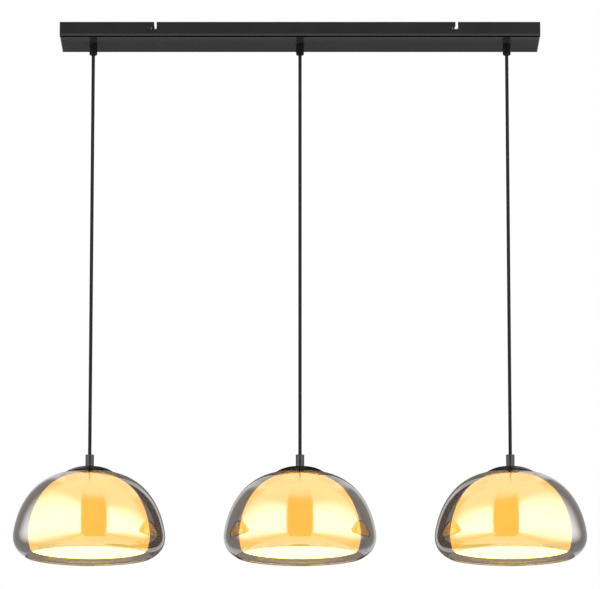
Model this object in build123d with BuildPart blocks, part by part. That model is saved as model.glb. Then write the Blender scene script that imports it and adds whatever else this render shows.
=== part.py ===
from build123d import *
import os
from math import acos, cos, pi, radians, sin, sqrt, tan

# Three-light bar pendant. A shallow sheet-steel bar hangs on two ceiling brackets and carries
# three cords, each with a smoked glass bowl around an opal inner shade and its bulb.
# Millimetres, +Z up, X along the bar. The origin is the middle of the bar at the ceiling.

os.makedirs("parts", exist_ok=True)

# Ceiling bar, folded from sheet and open at the top
bar_length = 914.0
bar_depth = 120.0
bar_height = 28.0
bar_sheet = 1.2
bar_bend_radius = 0.8
bar_end_margin = 62.0
small_chamfer = 0.6

# Lock screws in the brackets, and the L-shaped notches that hang the bar on them
lock_end_margin = 170.5
lock_drop = 11.7
lock_screw_radius = 2.0
lock_clearance = 0.3
lock_leg = 11.5
lock_head_radius = 3.75
lock_head_height = 2.4
lock_head_gap = 0.2
lock_head_crown = 1.4
lock_tail = 3.0

# Ceiling brackets
bracket_sheet = 1.5
bracket_width = 18.0
bracket_wall_gap = 0.5
bracket_tab_width = 10.0
bracket_tab_margin = 5.0
ceiling_slot_width = 4.6
ceiling_slot_length = 9.0
ceiling_slot_spacing = 60.0

# Cords
cord_diameter = 6.4
cord_clearance = 0.3
cord_visible = 775.0
cord_tuck = 8.0

# Cord grips, with a soft ball-shaped bush in the mouth that lets the cord lean
grip_radius = 7.5
grip_length = 22.0
grip_round = 2.5
stem_radius = 5.0
stem_rise = 8.5
thread_clearance = 0.05
stem_clearance = 0.2
bush_wall = 1.2
bush_clearance = 0.3
bush_top = 2.0
bush_bottom = 1.6
bush_flare = 0.45
pivot_rise = 2.0
grip_nut_flats = 15.0
grip_nut_height = 3.5
clamp_screw_radius = 1.5
clamp_screw_drop = 9.0
clamp_screw_sink = 0.6

# Junction box, its leads and the earth stud, all on the floor of the bar
junction_x = 105.0
junction_length = 70.0
junction_width = 40.0
junction_height = 15.0
junction_wall = 2.0
junction_lid = 2.0
junction_corner = 3.0
junction_boss_radius = 3.5
junction_screw_radius = 1.5
junction_screw_head_radius = 2.8
junction_screw_head_height = 1.8
junction_screw_depth = 8.0
lead_entry_rise = 7.5
lead_entry_spread = 11.0
lead_entry_gap = 0.2
lead_inside = 6.0
lead_floor_gap = 0.4
lead_bend_radius = 7.5
lead_bend_share = 0.45
lead_bend_rise = 17.5
earth_stud_x = 180.0
earth_stud_y = -32.0
earth_stud_radius = 2.0
earth_stud_rise = 9.0
earth_nut_flats = 7.0
earth_nut_height = 3.2
earth_ring_radius = 6.5
earth_ring_thickness = 0.8
earth_lead_radius = 1.1
earth_lead_bite = 0.3
earth_entry_y = -13.0

# Sleeve, tube and cap at the top of a pendant
sleeve_radius = 8.0
sleeve_length = 24.0
sleeve_chamfer = 0.5
tube_radius = 5.0
tube_bore = 3.6
tube_reach = 9.0
collar_radius = 13.0
collar_height = 7.0
cap_radius = 45.5
cap_drop = 10.0
cap_flat_radius = 14.0
cap_sheet = 1.0

# Outer bowl, measured from its own rim
outer_height = 159.0
outer_radius = 142.7
outer_widest_rise = 37.7
outer_side_pull = 5.0
outer_crown_pull = 113.0
outer_rim_radius = 119.4
outer_rim_flare = 16.8
outer_rim_pull = 9.4
outer_tuck_pull = 16.0
outer_wall = 3.0

# Inner shade, measured from its own rim
inner_height = 141.5
inner_radius = 113.4
inner_widest_rise = 31.0
inner_side_pull = 26.0
inner_crown_pull = 76.0
inner_rim_radius = 109.3
inner_rim_flare = 2.7
inner_rim_pull = 9.0
inner_tuck_pull = 10.0
inner_wall = 3.0

# Clamping stack between the two glasses and the lampholder
glass_hole_radius = 7.0
glass_seat_radius = 20.0
gasket_radius = 17.0
gasket_thickness = 1.5
plate_radius = 22.0
plate_thickness = 2.0
clamp_nut_flats = 16.0
clamp_nut_height = 5.0

# Lampholder and bulb
holder_radius = 19.5
holder_length = 46.0
holder_neck_radius = 9.0
holder_neck_length = 4.0
holder_shoulder = 9.0
holder_edge = 1.0
holder_thread_depth = 8.0
holder_roof = 17.0
holder_cavity_radius = 15.2
shell_radius = 14.8
shell_sheet = 0.5
shell_length = 26.0
bulb_base_radius = 13.4
bulb_base_length = 23.0
bulb_contact_radius = 5.0
bulb_contact_height = 2.0
bulb_cone_height = 4.0
bulb_neck_radius = 12.0
bulb_globe_radius = 22.5
bulb_globe_drop = 28.0
bulb_wall = 1.0

# Places worked out from the sizes above
pendant_spacing = bar_length / 2 - bar_end_margin
lock_spacing = bar_length - 2 * lock_end_margin
pendants = {"left": -pendant_spacing, "centre": 0.0, "right": pendant_spacing}
brackets = {"left": -lock_spacing / 2, "right": lock_spacing / 2}
notch_width = 2 * (lock_screw_radius + lock_clearance)
cord_radius = cord_diameter / 2
floor_z = -bar_height + bar_sheet
mouth_z = -bar_height - grip_length
pivot_z = mouth_z + pivot_rise
stem_top_z = -bar_height + stem_rise
sleeve_top_z = mouth_z - cord_visible
cap_top_z = sleeve_top_z - sleeve_length
collar_top_z = cap_top_z - cap_sheet
collar_bottom_z = collar_top_z - collar_height
outer_top_z = collar_bottom_z - gasket_thickness
inner_top_z = outer_top_z - outer_wall - gasket_thickness
plate_top_z = inner_top_z - inner_wall - gasket_thickness
clamp_nut_top_z = plate_top_z - plate_thickness
holder_top_z = clamp_nut_top_z - clamp_nut_height
holder_roof_z = holder_top_z - holder_roof


def save(piece, name):
    piece.part.label = name
    export_step(piece.part, f"parts/{name}.step")


def upright(axis_x):
    """The plane of a pendant's section: radius across, height up."""
    return Plane(origin=(axis_x, 0, 0), x_dir=(1, 0, 0), z_dir=(0, -1, 0))


def spin(axis_x):
    return Axis((axis_x, 0, 0), (0, 0, 1))


# The bar: a folded tray with three stem holes, four notches and a welded earth stud
with BuildPart() as canopy_tray:
    with BuildSketch(Plane.XY.offset(-bar_height)):
        Rectangle(bar_length, bar_depth)
    extrude(amount=bar_height)
    fillet(canopy_tray.edges().filter_by(Axis.Z), bar_bend_radius + bar_sheet)
    fillet(canopy_tray.faces().sort_by(Axis.Z)[0].edges(), bar_bend_radius + bar_sheet)
    offset(amount=-bar_sheet, openings=canopy_tray.faces().sort_by(Axis.Z)[-1])
    with BuildSketch(Plane.XY.offset(-bar_height)):
        with Locations(*[(axis_x, 0) for axis_x in pendants.values()]):
            Circle(stem_radius + stem_clearance)
    extrude(amount=bar_sheet, mode=Mode.SUBTRACT)
    with BuildSketch(Plane.XZ):
        for lock_x in brackets.values():
            with Locations((lock_x + lock_leg, -lock_drop / 2)):
                Rectangle(notch_width, lock_drop)
            with Locations((lock_x + lock_leg / 2, -lock_drop)):
                SlotCenterToCenter(lock_leg, notch_width)
    extrude(amount=bar_depth, both=True, mode=Mode.SUBTRACT)
    with BuildSketch(Plane.XY.offset(floor_z)):
        with Locations((earth_stud_x, earth_stud_y)):
            Circle(earth_stud_radius)
    extrude(amount=earth_stud_rise)
save(canopy_tray, "canopy_tray")

# Brackets: a strap across the bar with a tab down each wall, slotted for the ceiling screws
bracket_span = bar_depth - 2 * (bar_sheet + bracket_wall_gap)
tab_offset = (bracket_span - bracket_sheet) / 2
for side, lock_x in brackets.items():
    with BuildPart() as ceiling_bracket:
        with BuildSketch(Plane.XY.offset(-bracket_sheet)):
            with Locations((lock_x, 0)):
                Rectangle(bracket_width, bracket_span)
                with GridLocations(0, ceiling_slot_spacing, 1, 2):
                    SlotOverall(ceiling_slot_length, ceiling_slot_width, mode=Mode.SUBTRACT)
        extrude(amount=bracket_sheet)
        with BuildSketch(Plane.XY):
            with Locations((lock_x, 0)):
                with GridLocations(0, 2 * tab_offset, 1, 2):
                    Rectangle(bracket_tab_width, bracket_sheet)
        extrude(amount=-(lock_drop + bracket_tab_margin))
        with BuildSketch(Plane.XZ):
            with Locations((lock_x, -lock_drop)):
                Circle(lock_screw_radius + thread_clearance)
        extrude(amount=bar_depth, both=True, mode=Mode.SUBTRACT)
    save(ceiling_bracket, f"ceiling_bracket_{side}")

# Lock screws: pan heads outside the bar's walls, tails through the bracket tabs
lock_shank = bar_sheet + bracket_wall_gap + bracket_sheet + lock_tail
with BuildPart() as bracket_lock_screws:
    for lock_x in brackets.values():
        for wall in (-1, 1):
            centre = (lock_x, wall * bar_depth / 2, -lock_drop)
            with BuildSketch(Plane(origin=centre, x_dir=(0, wall, 0), z_dir=(1, 0, 0))):
                with BuildLine():
                    head_top = lock_head_gap + lock_head_height
                    head_rim = head_top - lock_head_crown
                    Polyline(
                        (head_top, 0),
                        (-lock_shank, 0),
                        (-lock_shank, lock_screw_radius),
                        (lock_head_gap, lock_screw_radius),
                        (lock_head_gap, lock_head_radius),
                        (head_rim, lock_head_radius),
                    )
                    TangentArc((head_top, 0), (head_rim, lock_head_radius), tangent=(0, 1))
                make_face()
            revolve(axis=Axis(centre, (0, wall, 0)))
save(bracket_lock_screws, "bracket_lock_screws")

# Cord grips: a rounded body under the bar and a threaded stem through its floor
seat_radius = cord_radius + cord_clearance + bush_wall + bush_clearance
bore_radius = cord_radius + cord_clearance
clamp_screw_z = -bar_height - clamp_screw_drop
for side, axis_x in pendants.items():
    with BuildPart() as cord_grip:
        with BuildSketch(upright(axis_x)):
            with BuildLine():
                seat_start = (bore_radius, pivot_z + sqrt(seat_radius**2 - bore_radius**2))
                seat_end = (sqrt(seat_radius**2 - pivot_rise**2), mouth_z)
                Polyline(
                    seat_start,
                    (bore_radius, stem_top_z),
                    (stem_radius, stem_top_z),
                    (stem_radius, -bar_height),
                    (grip_radius, -bar_height),
                    (grip_radius, mouth_z + grip_round),
                )
                TangentArc(
                    (grip_radius, mouth_z + grip_round),
                    (grip_radius - grip_round, mouth_z),
                    tangent=(0, -1),
                )
                Line((grip_radius - grip_round, mouth_z), seat_end)
                ThreePointArc(seat_end, (seat_radius, pivot_z), seat_start)
            make_face()
        revolve(axis=spin(axis_x))
        with BuildSketch(Plane.XZ):
            with Locations((axis_x, clamp_screw_z)):
                Circle(clamp_screw_radius + thread_clearance)
        extrude(amount=-grip_radius, mode=Mode.SUBTRACT)
    save(cord_grip, f"cord_grip_{side}")

with BuildPart() as grip_nuts:
    with BuildSketch(Plane.XY.offset(floor_z)):
        with Locations(*[(axis_x, 0) for axis_x in pendants.values()]):
            RegularPolygon(grip_nut_flats / 2, 6, major_radius=False)
            Circle(stem_radius + thread_clearance, mode=Mode.SUBTRACT)
    extrude(amount=grip_nut_height)
save(grip_nuts, "grip_nuts")

# Clamp screws: grub screws in the back of each grip, their tips on the cord
with BuildPart() as grip_clamp_screws:
    with BuildSketch(Plane.XZ.offset(-cord_radius - thread_clearance)):
        with Locations(*[(axis_x, clamp_screw_z) for axis_x in pendants.values()]):
            Circle(clamp_screw_radius)
    extrude(amount=-(grip_radius - clamp_screw_sink - cord_radius))
save(grip_clamp_screws, "grip_clamp_screws")

# Junction box: an open box with two screw bosses, a lid and its screws
junction_top_z = floor_z + junction_height
lead_entry_z = floor_z + lead_entry_rise
junction_left_x = junction_x - junction_length / 2
junction_right_x = junction_x + junction_length / 2
boss_places = [(junction_x - junction_length / 4, 0), (junction_x + junction_length / 4, 0)]
left_entries = [(lead_entry_spread, cord_radius), (-lead_entry_spread, cord_radius)]
right_entries = [(0, cord_radius), (earth_entry_y, earth_lead_radius)]
with BuildPart() as junction_box:
    with BuildSketch(Plane.XY.offset(floor_z)):
        with Locations((junction_x, 0)):
            RectangleRounded(junction_length, junction_width, junction_corner)
    extrude(amount=junction_height)
    with BuildSketch(Plane.XY.offset(floor_z + junction_wall)):
        with Locations((junction_x, 0)):
            Rectangle(junction_length - 2 * junction_wall, junction_width - 2 * junction_wall)
        with Locations(*boss_places):
            Circle(junction_boss_radius, mode=Mode.SUBTRACT)
    extrude(amount=junction_height, mode=Mode.SUBTRACT)
    with BuildSketch(Plane.XY.offset(junction_top_z)):
        with Locations(*boss_places):
            Circle(junction_screw_radius + thread_clearance)
    extrude(amount=-junction_screw_depth, mode=Mode.SUBTRACT)
    for wall_x, entries in ((junction_left_x, left_entries), (junction_right_x, right_entries)):
        with BuildSketch(Plane.YZ.offset(wall_x)):
            for entry_y, radius in entries:
                with Locations((entry_y, lead_entry_z)):
                    Circle(radius + lead_entry_gap)
        extrude(amount=junction_wall, both=True, mode=Mode.SUBTRACT)
save(junction_box, "junction_box")

with BuildPart() as junction_cover:
    with BuildSketch(Plane.XY.offset(junction_top_z)):
        with Locations((junction_x, 0)):
            RectangleRounded(junction_length, junction_width, junction_corner)
        with Locations(*boss_places):
            Circle(junction_screw_radius + thread_clearance, mode=Mode.SUBTRACT)
    extrude(amount=junction_lid)
    chamfer(junction_cover.faces().sort_by(Axis.Z)[-1].outer_wire().edges(), small_chamfer)
save(junction_cover, "junction_lid")

with BuildPart() as junction_lid_screws:
    with BuildSketch(Plane.XY.offset(junction_top_z + junction_lid)):
        with Locations(*boss_places):
            Circle(junction_screw_head_radius)
    extrude(amount=junction_screw_head_height)
    chamfer(junction_lid_screws.edges().group_by(Axis.Z)[-1], small_chamfer)
    with BuildSketch(Plane.XY.offset(junction_top_z + junction_lid)):
        with Locations(*boss_places):
            Circle(junction_screw_radius)
    extrude(amount=-(junction_lid + junction_screw_depth - junction_wall))
save(junction_lid_screws, "junction_lid_screws")

# Inner leads: from the cord's clamp up through the stem, then along the floor to the box.
# The points between the bend over the stem and the box are chosen by hand.
lead_start_z = pivot_z + cord_radius + bush_clearance
lead_bend_z = floor_z + lead_bend_rise
lead_rest_z = floor_z + cord_radius + lead_floor_gap
lead_fall_z = (lead_bend_z + lead_rest_z) / 2
lead_low_z = (lead_entry_z + lead_rest_z) / 2
lead_routes = {
    "left": [
        (-pendant_spacing + 43, 10, lead_fall_z),
        (-0.735 * pendant_spacing, 21, lead_rest_z),
        (-0.537 * pendant_spacing, 15, lead_rest_z),
        (-0.342 * pendant_spacing, 25, lead_rest_z),
        (-0.157 * pendant_spacing, 19, lead_rest_z),
        (0, 24, lead_rest_z),
        (junction_left_x - 36, 15, lead_low_z),
        (junction_left_x - 16, lead_entry_spread, lead_entry_z),
        (junction_left_x + lead_inside, lead_entry_spread, lead_entry_z),
    ],
    "centre": [
        (26, -4, lead_fall_z + 4),
        (junction_left_x - 20, -lead_entry_spread, lead_entry_z),
        (junction_left_x + lead_inside, -lead_entry_spread, lead_entry_z),
    ],
    "right": [
        (pendant_spacing - 43, -10, lead_fall_z),
        (0.739 * pendant_spacing, -21, lead_rest_z),
        (0.577 * pendant_spacing, -14, lead_rest_z),
        (junction_right_x + 44, -3, lead_low_z),
        (junction_right_x + 18, 0, lead_entry_z),
        (junction_right_x - lead_inside, 0, lead_entry_z),
    ],
}


def corner_radii(points):
    """Each corner's radius: a share of its shorter run over the tangent of half the turn."""
    radii = []
    for before, corner, after in zip(points, points[1:], points[2:]):
        run_in = Vector(corner) - Vector(before)
        run_out = Vector(after) - Vector(corner)
        turn = radians(run_in.get_angle(run_out))
        radii.append(lead_bend_share * min(run_in.length, run_out.length) / tan(turn / 2))
    return radii


for side, axis_x in pendants.items():
    points = [(axis_x, 0, lead_start_z), (axis_x, 0, lead_bend_z)] + lead_routes[side]
    radii = [lead_bend_radius] + corner_radii(points)[1:]
    with BuildPart() as inner_lead:
        with BuildLine() as route:
            FilletPolyline(*points, radius=radii)
        with BuildSketch(Plane(origin=route.line @ 0, z_dir=route.line % 0)):
            Circle(cord_radius)
        sweep(path=route.line)
    save(inner_lead, f"inner_lead_{side}")
    length = route.wire().length
    share = inner_lead.part.volume / (pi * cord_radius**2 * length)
    print(f"inner_lead_{side}: length {length:.1f}, radii {[round(r, 1) for r in radii]}")
    print(f"  volume over section times length {share:.4f}")

# Earth lead: a thin core from the box to a ring under the nut on the welded stud
earth_ring_z = floor_z + earth_ring_thickness
earth_lead_z = earth_ring_z + earth_lead_radius - earth_lead_bite
earth_crimp_gap = earth_nut_flats / 2 / cos(radians(30)) + bush_clearance
earth_points = [
    (junction_right_x - lead_inside, earth_entry_y, lead_entry_z),
    (junction_right_x + 11, earth_entry_y, lead_entry_z),
    (junction_right_x + 24, earth_entry_y - 4, (lead_entry_z + earth_lead_z) / 2),
    (earth_stud_x - earth_crimp_gap - 6, earth_stud_y + 4, earth_lead_z),
    (earth_stud_x - earth_crimp_gap, earth_stud_y, earth_lead_z),
]
with BuildPart() as earth_lead:
    with BuildLine() as route:
        FilletPolyline(*earth_points, radius=corner_radii(earth_points))
    with BuildSketch(Plane(origin=route.line @ 0, z_dir=route.line % 0)):
        Circle(earth_lead_radius)
    sweep(path=route.line)
    with BuildSketch(Plane.XY.offset(floor_z)):
        with Locations((earth_stud_x, earth_stud_y)):
            Circle(earth_ring_radius)
            Circle(earth_stud_radius + thread_clearance, mode=Mode.SUBTRACT)
    extrude(amount=earth_ring_thickness)
save(earth_lead, "earth_lead")

with BuildPart() as earth_nut:
    with BuildSketch(Plane.XY.offset(earth_ring_z)):
        with Locations((earth_stud_x, earth_stud_y)):
            RegularPolygon(earth_nut_flats / 2, 6, major_radius=False)
            Circle(earth_stud_radius + thread_clearance, mode=Mode.SUBTRACT)
    extrude(amount=earth_nut_height)
save(earth_nut, "earth_nut")


def make_bush(axis_x):
    """A truncated ball around the cord: its bore widens below the pivot to let the cord lean."""
    radius = seat_radius - bush_clearance
    top = (sqrt(radius**2 - bush_top**2), pivot_z + bush_top)
    bottom = (sqrt(radius**2 - bush_bottom**2), pivot_z - bush_bottom)
    with BuildPart() as bush:
        with BuildSketch(upright(axis_x)):
            with BuildLine():
                Polyline(
                    top,
                    (bore_radius, pivot_z + bush_top),
                    (bore_radius, pivot_z),
                    (bore_radius + bush_flare, pivot_z - bush_bottom),
                    bottom,
                )
                ThreePointArc(bottom, (radius, pivot_z), top)
            make_face()
        revolve(axis=spin(axis_x))
    return bush


def make_cord(axis_x):
    """A straight hanging cord with a round top at the pivot, tucked into its sleeve."""
    end_z = sleeve_top_z - cord_tuck
    with BuildPart() as cord:
        with BuildSketch(upright(axis_x)):
            with BuildLine():
                Polyline(
                    (0, pivot_z + cord_radius),
                    (0, end_z),
                    (cord_radius, end_z),
                    (cord_radius, pivot_z),
                )
                TangentArc((cord_radius, pivot_z), (0, pivot_z + cord_radius), tangent=(0, 1))
            make_face()
        revolve(axis=spin(axis_x))
    return cord


def make_sleeve(axis_x):
    inner = bore_radius + thread_clearance
    thread = tube_radius + thread_clearance
    thread_top = cap_top_z + tube_reach + sleeve_chamfer
    with BuildPart() as sleeve:
        with BuildSketch(upright(axis_x)):
            with BuildLine():
                Polyline(
                    (inner, sleeve_top_z),
                    (sleeve_radius - sleeve_chamfer, sleeve_top_z),
                    (sleeve_radius, sleeve_top_z - sleeve_chamfer),
                    (sleeve_radius, cap_top_z),
                    (thread, cap_top_z),
                    (thread, thread_top),
                    (inner, thread_top),
                    close=True,
                )
            make_face()
        revolve(axis=spin(axis_x))
    return sleeve


def make_tube(axis_x):
    """A hollow bolt: the collar carries the cap above it and the glasses below it."""
    tube_bottom_z = holder_top_z - holder_thread_depth
    with BuildPart() as tube:
        with BuildSketch(upright(axis_x)):
            with BuildLine():
                Polyline(
                    (tube_bore, cap_top_z + tube_reach),
                    (tube_radius, cap_top_z + tube_reach),
                    (tube_radius, collar_top_z),
                    (collar_radius, collar_top_z),
                    (collar_radius, collar_bottom_z),
                    (tube_radius, collar_bottom_z),
                    (tube_radius, tube_bottom_z),
                    (tube_bore, tube_bottom_z),
                    close=True,
                )
            make_face()
        revolve(axis=spin(axis_x))
    return tube


def make_cap(axis_x):
    """A spun steel cap: flat in the middle, then one arc down to the edge."""
    reach = cap_radius - cap_flat_radius
    arc_radius = (reach**2 + cap_drop**2) / (2 * cap_drop)
    sweep_angle = acos(1 - cap_drop / arc_radius)
    inner_edge = (
        cap_radius - cap_sheet * sin(sweep_angle),
        cap_top_z - cap_drop - cap_sheet * cos(sweep_angle),
    )
    hole = tube_radius + thread_clearance
    with BuildPart() as cap:
        with BuildSketch(upright(axis_x)):
            with BuildLine():
                Polyline(
                    (cap_flat_radius, collar_top_z),
                    (hole, collar_top_z),
                    (hole, cap_top_z),
                    (cap_flat_radius, cap_top_z),
                )
                TangentArc(
                    (cap_flat_radius, cap_top_z),
                    (cap_radius, cap_top_z - cap_drop),
                    tangent=(1, 0),
                )
                Line((cap_radius, cap_top_z - cap_drop), inner_edge)
                TangentArc((cap_flat_radius, collar_top_z), inner_edge, tangent=(1, 0))
            make_face()
        revolve(axis=spin(axis_x))
    return cap


def make_shade(
    axis_x, top_z, height, radius, widest_rise, side_pull, crown_pull, rim_radius, rim_flare, rim_pull,
    tuck_pull, wall,
):
    """A blown bowl: flat seat round the hole, one curve down to the widest ring, one in to the rim."""
    rim_z = top_z - height
    widest_z = rim_z + widest_rise
    slant = sqrt(rim_flare**2 + rim_pull**2)
    along = (rim_flare / slant, rim_pull / slant)
    outer_rim = (rim_radius, rim_z)
    inner_rim = (rim_radius - wall * along[1], rim_z + wall * along[0])
    lip = (
        (outer_rim[0] + inner_rim[0] - wall * along[0]) / 2,
        (outer_rim[1] + inner_rim[1] - wall * along[1]) / 2,
    )
    with BuildPart() as shade:
        with BuildSketch(upright(axis_x)):
            with BuildLine():
                Line((glass_hole_radius, top_z), (glass_seat_radius, top_z))
                Bezier(
                    (glass_seat_radius, top_z),
                    (glass_seat_radius + crown_pull, top_z),
                    (radius, widest_z + side_pull),
                    (radius, widest_z),
                )
                Bezier(
                    (radius, widest_z),
                    (radius, widest_z - tuck_pull),
                    (rim_radius + rim_flare, rim_z + rim_pull),
                    outer_rim,
                )
                ThreePointArc(outer_rim, lip, inner_rim)
                Bezier(
                    inner_rim,
                    (inner_rim[0] + rim_flare, inner_rim[1] + rim_pull),
                    (radius - wall, widest_z - tuck_pull + wall * along[0]),
                    (radius - wall, widest_z),
                )
                Bezier(
                    (radius - wall, widest_z),
                    (radius - wall, widest_z + side_pull),
                    (glass_seat_radius + crown_pull - wall, top_z - wall),
                    (glass_seat_radius, top_z - wall),
                )
                Polyline(
                    (glass_seat_radius, top_z - wall),
                    (glass_hole_radius, top_z - wall),
                    (glass_hole_radius, top_z),
                )
            make_face()
        revolve(axis=spin(axis_x))
    return shade


def make_outer_glass(axis_x):
    return make_shade(
        axis_x, outer_top_z, outer_height, outer_radius, outer_widest_rise, outer_side_pull,
        outer_crown_pull, outer_rim_radius, outer_rim_flare, outer_rim_pull, outer_tuck_pull, outer_wall,
    )


def make_inner_glass(axis_x):
    return make_shade(
        axis_x, inner_top_z, inner_height, inner_radius, inner_widest_rise, inner_side_pull,
        inner_crown_pull, inner_rim_radius, inner_rim_flare, inner_rim_pull, inner_tuck_pull, inner_wall,
    )


def make_gaskets(axis_x):
    """Three flat rings: over the outer glass, between the glasses and under the inner one."""
    with BuildPart() as gaskets:
        for bottom_z in (outer_top_z, inner_top_z, plate_top_z):
            with BuildSketch(Plane.XY.offset(bottom_z)):
                with Locations((axis_x, 0)):
                    Circle(gasket_radius)
                    Circle(tube_radius + thread_clearance, mode=Mode.SUBTRACT)
            extrude(amount=gasket_thickness)
    return gaskets


def make_plate(axis_x):
    with BuildPart() as plate:
        with BuildSketch(Plane.XY.offset(plate_top_z)):
            with Locations((axis_x, 0)):
                Circle(plate_radius)
                Circle(tube_radius + thread_clearance, mode=Mode.SUBTRACT)
        extrude(amount=-plate_thickness)
        chamfer(plate.faces().sort_by(Axis.Z)[0].outer_wire().edges(), small_chamfer)
    return plate


def make_nut(axis_x):
    with BuildPart() as nut:
        with BuildSketch(Plane.XY.offset(clamp_nut_top_z)):
            with Locations((axis_x, 0)):
                RegularPolygon(clamp_nut_flats / 2, 6, major_radius=False)
                Circle(tube_radius + thread_clearance, mode=Mode.SUBTRACT)
        extrude(amount=-clamp_nut_height)
    return nut


def make_holder(axis_x):
    """A moulded lampholder: threaded neck, rounded shoulder and a skirt around the screw shell."""
    bottom_z = holder_top_z - holder_length
    thread = tube_radius + thread_clearance
    neck_z = holder_top_z - holder_neck_length
    with BuildPart() as holder:
        with BuildSketch(upright(axis_x)):
            with BuildLine():
                Polyline(
                    (holder_neck_radius, neck_z),
                    (holder_neck_radius, holder_top_z),
                    (thread, holder_top_z),
                    (thread, holder_top_z - holder_thread_depth),
                    (0, holder_top_z - holder_thread_depth),
                    (0, holder_roof_z),
                    (holder_cavity_radius, holder_roof_z),
                    (holder_cavity_radius, bottom_z),
                    (holder_radius - holder_edge, bottom_z),
                    (holder_radius, bottom_z + holder_edge),
                    (holder_radius, neck_z - holder_shoulder),
                )
                Bezier(
                    (holder_radius, neck_z - holder_shoulder),
                    (holder_radius, neck_z),
                    (holder_neck_radius, neck_z),
                )
            make_face()
        revolve(axis=spin(axis_x))
    return holder


def make_shell(axis_x):
    """The brass screw shell, a thin cup against the roof of the lampholder."""
    bottom_z = holder_roof_z - shell_length
    inner = shell_radius - shell_sheet
    with BuildPart() as shell:
        with BuildSketch(upright(axis_x)):
            with BuildLine():
                Polyline(
                    (0, holder_roof_z),
                    (shell_radius, holder_roof_z),
                    (shell_radius, bottom_z),
                    (inner, bottom_z),
                    (inner, holder_roof_z - shell_sheet),
                    (0, holder_roof_z - shell_sheet),
                    close=True,
                )
            make_face()
        revolve(axis=spin(axis_x))
    return shell


def make_bulb_base(axis_x):
    contact_z = holder_roof_z - shell_sheet
    cone_z = contact_z - bulb_contact_height
    with BuildPart() as base:
        with BuildSketch(upright(axis_x)):
            with BuildLine():
                Polyline(
                    (0, contact_z),
                    (bulb_contact_radius, contact_z),
                    (bulb_contact_radius, cone_z),
                    (bulb_base_radius, cone_z - bulb_cone_height),
                    (bulb_base_radius, contact_z - bulb_base_length),
                    (0, contact_z - bulb_base_length),
                    close=True,
                )
            make_face()
        revolve(axis=spin(axis_x))
    return base


def make_bulb_globe(axis_x):
    """A thin ball with a short neck that ends on the bulb's base."""
    neck_z = holder_roof_z - shell_sheet - bulb_base_length
    centre_z = neck_z - bulb_globe_drop
    inner_ball = bulb_globe_radius - bulb_wall
    inner_neck = bulb_neck_radius - bulb_wall
    outer_start = (bulb_neck_radius, centre_z + sqrt(bulb_globe_radius**2 - bulb_neck_radius**2))
    inner_start = (inner_neck, centre_z + sqrt(inner_ball**2 - inner_neck**2))
    with BuildPart() as globe:
        with BuildSketch(upright(axis_x)):
            with BuildLine():
                Polyline(inner_start, (inner_neck, neck_z), (bulb_neck_radius, neck_z), outer_start)
                ThreePointArc(outer_start, (bulb_globe_radius, centre_z), (0, centre_z - bulb_globe_radius))
                Line((0, centre_z - bulb_globe_radius), (0, centre_z - inner_ball))
                ThreePointArc((0, centre_z - inner_ball), (inner_ball, centre_z), inner_start)
            make_face()
        revolve(axis=spin(axis_x))
    return globe


# One set of pendant pieces on each cord's axis
pendant_pieces = {
    "grip_bush": make_bush,
    "cord": make_cord,
    "cord_sleeve": make_sleeve,
    "threaded_tube": make_tube,
    "shade_cap": make_cap,
    "outer_glass": make_outer_glass,
    "inner_glass": make_inner_glass,
    "glass_gaskets": make_gaskets,
    "clamp_plate": make_plate,
    "clamp_nut": make_nut,
    "lampholder": make_holder,
    "socket_shell": make_shell,
    "bulb_base": make_bulb_base,
    "bulb_globe": make_bulb_globe,
}
for side, axis_x in pendants.items():
    for name, make in pendant_pieces.items():
        save(make(axis_x), f"{name}_{side}")

print(f"pivot {pivot_z:.1f}, cord end {sleeve_top_z - cord_tuck:.1f}, sleeve top {sleeve_top_z:.1f}")
print(f"outer rim {outer_top_z - outer_height:.1f}, inner rim {inner_top_z - inner_height:.1f}")
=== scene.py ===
import math

import bmesh
import bpy
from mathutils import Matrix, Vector


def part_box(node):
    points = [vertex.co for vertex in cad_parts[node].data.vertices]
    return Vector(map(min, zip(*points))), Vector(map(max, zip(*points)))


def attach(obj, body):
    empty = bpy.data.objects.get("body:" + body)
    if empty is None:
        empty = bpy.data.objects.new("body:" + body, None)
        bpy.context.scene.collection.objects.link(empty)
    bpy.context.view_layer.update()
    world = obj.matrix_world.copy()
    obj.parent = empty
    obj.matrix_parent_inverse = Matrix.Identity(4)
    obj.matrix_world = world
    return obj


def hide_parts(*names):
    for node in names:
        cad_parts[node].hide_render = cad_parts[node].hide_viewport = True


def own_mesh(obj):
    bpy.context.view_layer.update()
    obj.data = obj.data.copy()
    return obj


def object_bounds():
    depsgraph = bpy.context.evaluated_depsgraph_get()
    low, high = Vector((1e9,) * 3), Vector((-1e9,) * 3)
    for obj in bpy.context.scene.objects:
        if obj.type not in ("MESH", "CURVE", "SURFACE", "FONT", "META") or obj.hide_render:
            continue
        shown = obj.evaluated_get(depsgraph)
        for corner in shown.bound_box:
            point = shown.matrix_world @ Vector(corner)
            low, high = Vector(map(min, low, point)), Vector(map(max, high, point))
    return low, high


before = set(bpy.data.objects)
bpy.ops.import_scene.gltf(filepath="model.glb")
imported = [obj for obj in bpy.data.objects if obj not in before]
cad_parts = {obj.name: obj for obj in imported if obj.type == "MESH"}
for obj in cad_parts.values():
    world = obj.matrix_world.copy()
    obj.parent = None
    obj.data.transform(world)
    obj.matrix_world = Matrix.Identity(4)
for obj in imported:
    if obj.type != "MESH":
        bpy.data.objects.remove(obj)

# Three-light bar pendant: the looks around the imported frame.
# Metres, +Z up to the ceiling, +X along the bar. Every piece has its place in its mesh.
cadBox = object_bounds()
scene = bpy.context.scene
scene.view_settings.view_transform = "Standard"
mm = 0.001
up = (0.0, 0.0, 1.0)
sideNames = ("left", "centre", "right")
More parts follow.
